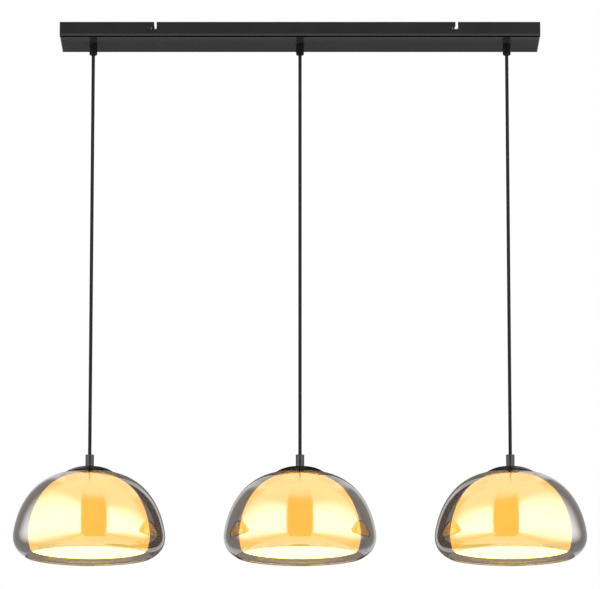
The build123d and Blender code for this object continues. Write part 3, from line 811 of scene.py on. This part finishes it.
# marks are (place, the way it faces)
def markPlaces(name, marks):
    mesh = bpy.data.meshes.new(name)
    mesh.from_pydata([place for place, way in marks], [], [])
    facing = mesh.attributes.new("facing", "FLOAT_VECTOR", "POINT")
    for point, (place, way) in zip(facing.data, marks):
        point.vector = way
    return linkNew(name, mesh)


def setFasteners(name, tree, anchors, closed, marks, values):
    places = markPlaces(name + "_places", marks)
    outline = outlineCurve(name + "_outline", anchors, closed, fastenerResolution)
    piece = growPiece(outline, tree, {"Hub": hubRadius, "Places": places, **values}, name)
    bpy.data.objects.remove(places)
    return piece


def setScrews(name, anchors, marks, bars, top, steps, finish):
    bar, crossBar = bars
    return setFasteners(name, screwTree, anchors, False, marks, {
        "Steps": steps, "Bar": tuple(bar), "Cross Bar": tuple(crossBar), "Top": (0.0, 0.0, top),
        "Finish": finish})


panHead = {"topRun": 0.55, "sidePull": 0.6, "pointRise": 0.3, "pointRadius": 0.7}  # shares of head and shank


def panHeadAnchors(size):
    rim = size["headTop"] - size["crown"]
    run, side = size["headRadius"] * panHead["topRun"], size["crown"] * panHead["sidePull"]
    return [
        (Vector((0.0, size["headTop"])), None, (run, size["headTop"])),
        (Vector((size["headRadius"], rim)), (size["headRadius"], rim + side), None),
        *straightAnchors([
            (size["headRadius"], size["headGap"]), (size["shank"], size["headGap"]),
            (size["shank"], size["shank"] * panHead["pointRise"] - size["tail"]),
            (size["shank"] * panHead["pointRadius"], -size["tail"]), (0.0, -size["tail"])]),
    ]


# pan-head lock screws in the notches; their place is the wall's outer face
lockScrew = {
    "headRadius": 3.75, "headTop": 2.6, "headGap": 0.2, "crown": 1.4, "shank": 2.0, "tail": 6.2,
    "bar": (3.6, 0.8, 2.4), "steps": 40,
}


def makeLockScrews(sizes):
    size = inMetres(sizes)
    low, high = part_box("bracket_lock_screws")
    midZ = (low.z + high.z) / 2
    marks = [((x, y, midZ), (0.0, way, 0.0))
             for x in (low.x + size["headRadius"], high.x - size["headRadius"])
             for y, way in ((low.y + size["headTop"], -1.0), (high.y - size["headTop"], 1.0))]
    bars = (size["bar"], size["bar"].yxz)
    screws = setScrews("lockScrews", panHeadAnchors(size), marks, bars, size["headTop"], sizes["steps"],
                       screwOxide)
    settle(screws, "ceiling_brackets", "black_screw", "bracket_lock_screws")


# pan-head screws in the junction box's lid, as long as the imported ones
lidScrew = {
    "headRadius": 2.8, "headTop": 1.8, "headGap": 0.0, "crown": 0.9, "shank": 1.5,
    "bar": (3.0, 0.7, 1.8), "steps": 32,
}


def makeLidScrews(sizes):
    size = inMetres(sizes)
    low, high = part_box("junction_lid_screws")
    size["tail"] = high.z - low.z - size["headTop"]
    marks = [((x, (low.y + high.y) / 2, high.z - size["headTop"]), up)
             for x in (low.x + size["headRadius"], high.x - size["headRadius"])]
    bars = (size["bar"], size["bar"].yxz)
    screws = setScrews("lidScrews", panHeadAnchors(size), marks, bars, size["headTop"], sizes["steps"],
                       zincPlate)
    settle(screws, "canopy", "zinc_steel", "junction_lid_screws")


# headless clamp screws in the grips, with one slot: their second bar lies inside the first
clampScrew = {"radius": 1.5, "ease": 0.25, "bar": (3.6, 0.5, 1.4), "steps": 24}


def makeClampScrews(sizes):
    size = inMetres(sizes)
    low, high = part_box("grip_clamp_screws")
    tip, radius, ease = low.y - high.y, size["radius"], size["ease"]
    anchors = straightAnchors([(0.0, 0.0), (radius - ease, 0.0), (radius, -ease), (radius, tip + ease),
                               (radius - ease, tip), (0.0, tip)])
    marks = [((axisX[side], high.y, (low.z + high.z) / 2), (0.0, 1.0, 0.0)) for side in sideNames]
    bars = (size["bar"], size["bar"] / 2)
    screws = setScrews("clampScrews", anchors, marks, bars, 0.0, sizes["steps"], screwOxide)
    settle(screws, "canopy", "black_screw", "grip_clamp_screws")


makeLockScrews(lockScrew)
makeLidScrews(lidScrew)
makeClampScrews(clampScrew)
print("screws set")

# hexagon nuts: width over the flats and bore; the chamfer takes the corners off both faces
gripNut = {"flats": 15.0, "bore": 5.05}
earthNut = {"flats": 7.0, "bore": 2.05}
clampNut = {"flats": 16.0, "bore": 5.05}
nutShape = {
    "face": 0.96, "mouth": 0.08, "over": 1.01, "tall": 4.0,  # shares of flats, bore, corner and height
    "chamfer": 27.0,  # degrees
    "steps": 48,
}
hexCorner = 1.0 / math.cos(math.radians(30.0))  # a hexagon's corner over its flat


def nutAnchors(corner, flats, bore, height):
    face = flats / 2 * nutShape["face"]
    drop = (corner - face) * math.tan(math.radians(nutShape["chamfer"]))
    mouth = bore * nutShape["mouth"]
    side = corner * nutShape["over"]
    return straightAnchors([
        (bore, mouth), (bore + mouth, 0.0), (face, 0.0), (side, drop),
        (side, height - drop), (face, height), (bore + mouth, height), (bore, height - mouth)])


def makeNuts(node, name, body, slotName, finish, places, sizes):
    size = inMetres(sizes)
    low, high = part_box(node)
    height = high.z - low.z
    corner = size["flats"] / 2 * hexCorner
    anchors = nutAnchors(corner, size["flats"], size["bore"], height)
    nuts = setFasteners(name, nutTree, anchors, True, [((x, y, low.z), up) for x, y in places], {
        "Steps": nutShape["steps"], "Corner": corner, "Tall": nutShape["tall"] * height, "Finish": finish})
    settle(nuts, body, slotName, node)


makeNuts("grip_nuts", "gripNuts", "canopy", "zinc_steel", zincPlate,
         [(axisX[side], 0.0) for side in sideNames], gripNut)
earthPlace = middle("earth_nut").xy
makeNuts("earth_nut", "earthNut", "canopy", "brass", turnedBrass, [earthPlace], earthNut)
for side in sideNames:
    makeNuts("clamp_nut_" + side, "clampNut_" + side, "pendant_" + side, "zinc_steel", zincPlate,
             [(axisX[side], 0.0)], clampNut)
print("nuts set")

# ring on the earth lead's end, under its nut
earthRing = {"radius": 6.5, "bore": 2.05, "thick": 0.8, "ease": 0.2, "steps": 48, "resolution": 4}


def makeEarthRing(sizes):
    size = inMetres(sizes)
    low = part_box("earth_lead")[0].z
    top = low + size["thick"]
    anchors = roundedAnchors([
        (size["bore"], low, size["ease"]), (size["radius"], low, size["ease"]),
        (size["radius"], top, size["ease"]), (size["bore"], top, size["ease"])])
    ring = turnPiece("earthRing", anchors, earthPlace, sizes, nickelPlate)
    settle(ring, "canopy", "zinc_steel")


makeEarthRing(earthRing)
print("earth ring laid")

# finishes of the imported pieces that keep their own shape, by the start of their names
nodeFinishes = {
    "canopy_tray": powderCoat, "ceiling_bracket": zincPlate, "cord_grip": gripPlastic,
    "grip_bush": softRubber, "junction_box": whitePlastic, "junction_lid": whitePlastic,
    "threaded_tube": turnedBrass, "glass_gaskets": softRubber, "clamp_plate": zincPlate,
    "lampholder": holderPlastic, "socket_shell": turnedBrass, "bulb_base": nickelPlate,
    "bulb_globe": bulbGlass,
}


def finishNodes(finishes):
    for name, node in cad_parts.items():
        for start, finish in finishes.items():
            if not name.startswith(start):
                continue
            if not node.data.materials:
                node.data.materials.append(finish)
            for place in node.material_slots:
                place.material = finish


finishNodes(nodeFinishes)
print("packed pieces finished")

# studio: a white surround, sheets that only reflections see, a key light and a pale floor
white = (1.0, 1.0, 1.0)
black = (0.0, 0.0, 0.0)


# one for what the camera sees, straight, mirrored or through glass
def seenDirectly(tree):
    path = addNode(tree, "ShaderNodeLightPath").outputs
    mirrored = mathStep(tree, "MAXIMUM", path["Is Camera Ray"], path["Is Glossy Ray"])
    return mathStep(tree, "MAXIMUM", mirrored, path["Is Transmission Ray"])


def hideFrom(thing, *rays):
    for ray in rays:
        setattr(thing, "visible_" + ray, False)


surround = {"seen": 1.0, "ambient": 0.45}


def makeSurround(look):
    scene.world = bpy.data.worlds.new("studioSurround")
    scene.world.use_nodes = True
    tree = scene.world.node_tree
    tree.nodes.clear()
    soft, bright = (
        addNode(tree, "ShaderNodeBackground", {"Color": white, "Strength": look[level]}).outputs["Background"]
        for level in ("ambient", "seen"))
    mix = addNode(tree, "ShaderNodeMixShader", {"Fac": seenDirectly(tree), 1: soft, 2: bright})
    addNode(tree, "ShaderNodeOutputWorld", {"Surface": mix.outputs["Shader"]})


makeSurround(surround)

# floor
paleFloor = {"drop": 1.6, "size": 200.0, "color": (0.8, 0.8, 0.8), "rough": 0.9, "lift": 0.53}
floorZ = cadBox[0][2] - paleFloor["drop"]


def flatAt(x0, x1, y0, y1, z):
    return [(x0, y0, z), (x1, y0, z), (x1, y1, z), (x0, y1, z)]


def stageSheet(name, corners, finish):
    mesh = bpy.data.meshes.new(name)
    mesh.from_pydata(corners, [], [(0, 1, 2, 3)])
    mesh.materials.append(finish)
    sheet = linkNew(name, mesh)
    return sheet


def makeFloor(look):
    finish, tree, shader = newFinish("paleFloor")
    setInputs(tree, shader, {
        "Base Color": look["color"], "Roughness": look["rough"], "Emission Color": white,
        "Emission Strength": mathStep(tree, "MULTIPLY", seenDirectly(tree), look["lift"])})
    half = look["size"] / 2
    stageSheet("studioFloor", flatAt(-half, half, -half, half, floorZ), finish)


makeFloor(paleFloor)


# a flat sheet that only reflections see; its tone is a number or a function that shades it
def makeSheet(name, corners, tone):
    finish, tree, shader = newFinish(name)
    setInputs(tree, shader, {
        "Base Color": black, "Specular IOR Level": 0.0, "Emission Color": white,
        "Emission Strength": tone(tree) if callable(tone) else tone})
    hideFrom(stageSheet(name, corners, finish), "camera", "transmission", "diffuse", "shadow")


def upright(start, end, low, high):
    return [(*start, low), (*end, low), (*end, high), (*start, high)]


def ramp(tree, value, run):
    low, high = run
    return addNode(tree, "ShaderNodeMapRange", {"Value": value, "From Min": low, "From Max": high},
                   interpolation_type="SMOOTHSTEP").outputs["Result"]


# height plus a share of the depth
def slanted(tree, place, slant):
    return mathStep(tree, "MULTIPLY_ADD", place["Y"], slant, place["Z"])


# side walls: a glowing band between a dimmer top and foot; they stand closer together at the front
sideWall = {
    "side": 1.05, "lean": 0.15, "high": 4.3, "glow": 3.7, "topGlow": 1.25, "footGlow": 0.8,
    "footRun": (-2.0, -0.75), "footSlant": -0.3, "topRun": (-1.0, 0.1), "topSlant": 0.7,
    "frontRun": (-2.3, -1.85), "frontSlant": 0.22, "frontHeight": -0.45, "backRun": (0.55, 0.0),
}

# grey flags behind the walls' ends, paler at the back, and as bright as the wall's top above
greyFlag = {
    "side": 1.1, "back": 3.4, "high": 1.1, "tone": 0.4, "endTone": 0.9, "endRun": (1.5, 2.2),
    "topRun": (0.3, 0.75),
}

# the front cloth is dark up to a steep look upwards from the bowls
frontCloth = {"tone": 0.08, "topTone": 0.95, "tiltRun": (1.1, 2.1), "eyeHeight": -0.94}


def flagLevel(tree):
    place = splitPlace(tree)
    far = ramp(tree, place["Y"], greyFlag["endRun"])
    above = ramp(tree, place["Z"], greyFlag["topRun"])
    tone = mixed(tree, "FLOAT", far, greyFlag["tone"], greyFlag["endTone"])
    return mixed(tree, "FLOAT", above, tone, sideWall["topGlow"])


def clothLevel(tree):
    x, y, z = splitPlace(tree)
    across = mathStep(tree, "ADD", mathStep(tree, "MULTIPLY", x, x), mathStep(tree, "MULTIPLY", y, y))
    rise = mathStep(tree, "SUBTRACT", z, frontCloth["eyeHeight"])
    tilt = mathStep(tree, "DIVIDE", rise, mathStep(tree, "SQRT", across))
    steep = ramp(tree, tilt, frontCloth["tiltRun"])
    return mixed(tree, "FLOAT", steep, frontCloth["tone"], frontCloth["topTone"])


# the wall's band runs into the cloth in front and the flag behind
def wallLevel(tree):
    place = splitPlace(tree)
    top = ramp(tree, slanted(tree, place, sideWall["topSlant"]), sideWall["topRun"])
    foot = ramp(tree, slanted(tree, place, sideWall["footSlant"]), sideWall["footRun"])
    rise = mathStep(tree, "SUBTRACT", place["Z"], sideWall["frontHeight"])
    lean = mathStep(tree, "MULTIPLY", mathStep(tree, "MAXIMUM", rise, 0.0), sideWall["frontSlant"])
    front = ramp(tree, mathStep(tree, "SUBTRACT", place["Y"], lean), sideWall["frontRun"])
    back = ramp(tree, place["Y"], sideWall["backRun"])
    glow = mixed(tree, "FLOAT", top, sideWall["glow"], sideWall["topGlow"])
    glow = mixed(tree, "FLOAT", foot, sideWall["footGlow"], glow)
    glow = mixed(tree, "FLOAT", back, flagLevel(tree), glow)
    return mixed(tree, "FLOAT", front, clothLevel(tree), glow)


def wallPlace(hand, y):
    return hand * (sideWall["side"] + sideWall["lean"] * y), y


sheetLift = 5.0 * mm  # keeps the sheets off the floor
sheetFoot = floorZ + sheetLift
frontY = sideWall["frontRun"][0]
frontLeft = wallPlace(-1, frontY)
frontRight = wallPlace(1, frontY)


def makeWalls(wall, flag):
    for hand, side in ((-1, "Left"), (1, "Right")):
        near = wallPlace(hand, frontY)
        far = wallPlace(hand, wall["backRun"][0])
        end = (hand * flag["side"], flag["back"])
        makeSheet("lightWall" + side, upright(near, far, sheetFoot, wall["high"]), wallLevel)
        makeSheet("darkFlag" + side, upright(far, end, sheetFoot, flag["high"]), flagLevel)
    makeSheet("darkCloth", upright(frontLeft, frontRight, sheetFoot, wall["high"]), clothLevel)


makeWalls(sideWall, greyFlag)

# plain sheets: a mat before the bowls, a screen right behind the middle one, a backdrop far behind,
# a ceiling over the walls and a card under the bar
darkMat = {"near": -1.25, "half": 0.5, "tone": 0.1}
darkScreen = {"place": 0.22, "half": 0.12, "high": -0.5, "tone": 0.02}
darkBack = {"place": 3.4, "half": 0.8, "high": 3.4, "tone": 0.14}
ceilingSheet = {"half": 1.2, "tone": 1.2}
overheadCard = {"half": 0.5, "depth": 0.08, "high": -0.07, "tone": 1.25}


def makePlainSheets():
    half, near = darkMat["half"], darkMat["near"]
    corners = (frontLeft, frontRight, (half, near), (-half, near))
    makeSheet("darkMat", [(*corner, sheetFoot) for corner in corners], darkMat["tone"])
    for name, look in (("darkScreen", darkScreen), ("darkBack", darkBack)):
        left, right = (-look["half"], look["place"]), (look["half"], look["place"])
        makeSheet(name, upright(left, right, sheetFoot, look["high"]), look["tone"])
    half, deep = ceilingSheet["half"], greyFlag["back"]
    makeSheet("ceilingSheet", flatAt(-half, half, frontY, deep, sideWall["high"]), ceilingSheet["tone"])
    half, deep = overheadCard["half"], overheadCard["depth"]
    makeSheet("overheadCard", flatAt(-half, half, -deep, deep, overheadCard["high"]), overheadCard["tone"])


makePlainSheets()

# key light: large and soft, from the front and above
keyLight = {"place": (0.6, -3.4, 1.7), "aim": (0.0, 0.0, -0.5), "size": (3.0, 2.0), "glow": 1.6}


def makeKeyLight(look):
    light = bpy.data.lights.new("keyLight", "AREA")
    light.shape = "RECTANGLE"
    light.size, light.size_y = look["size"]
    light.energy = look["glow"] * math.pi * light.size * light.size_y
    lamp = linkNew("keyLight", light)
    lamp.location = look["place"]
    facing = Vector(look["aim"]) - Vector(look["place"])
    lamp.rotation_euler = facing.to_track_quat("-Z", "Y").to_euler()
    hideFrom(lamp, "camera", "glossy", "transmission")


makeKeyLight(keyLight)
print("studio lit")
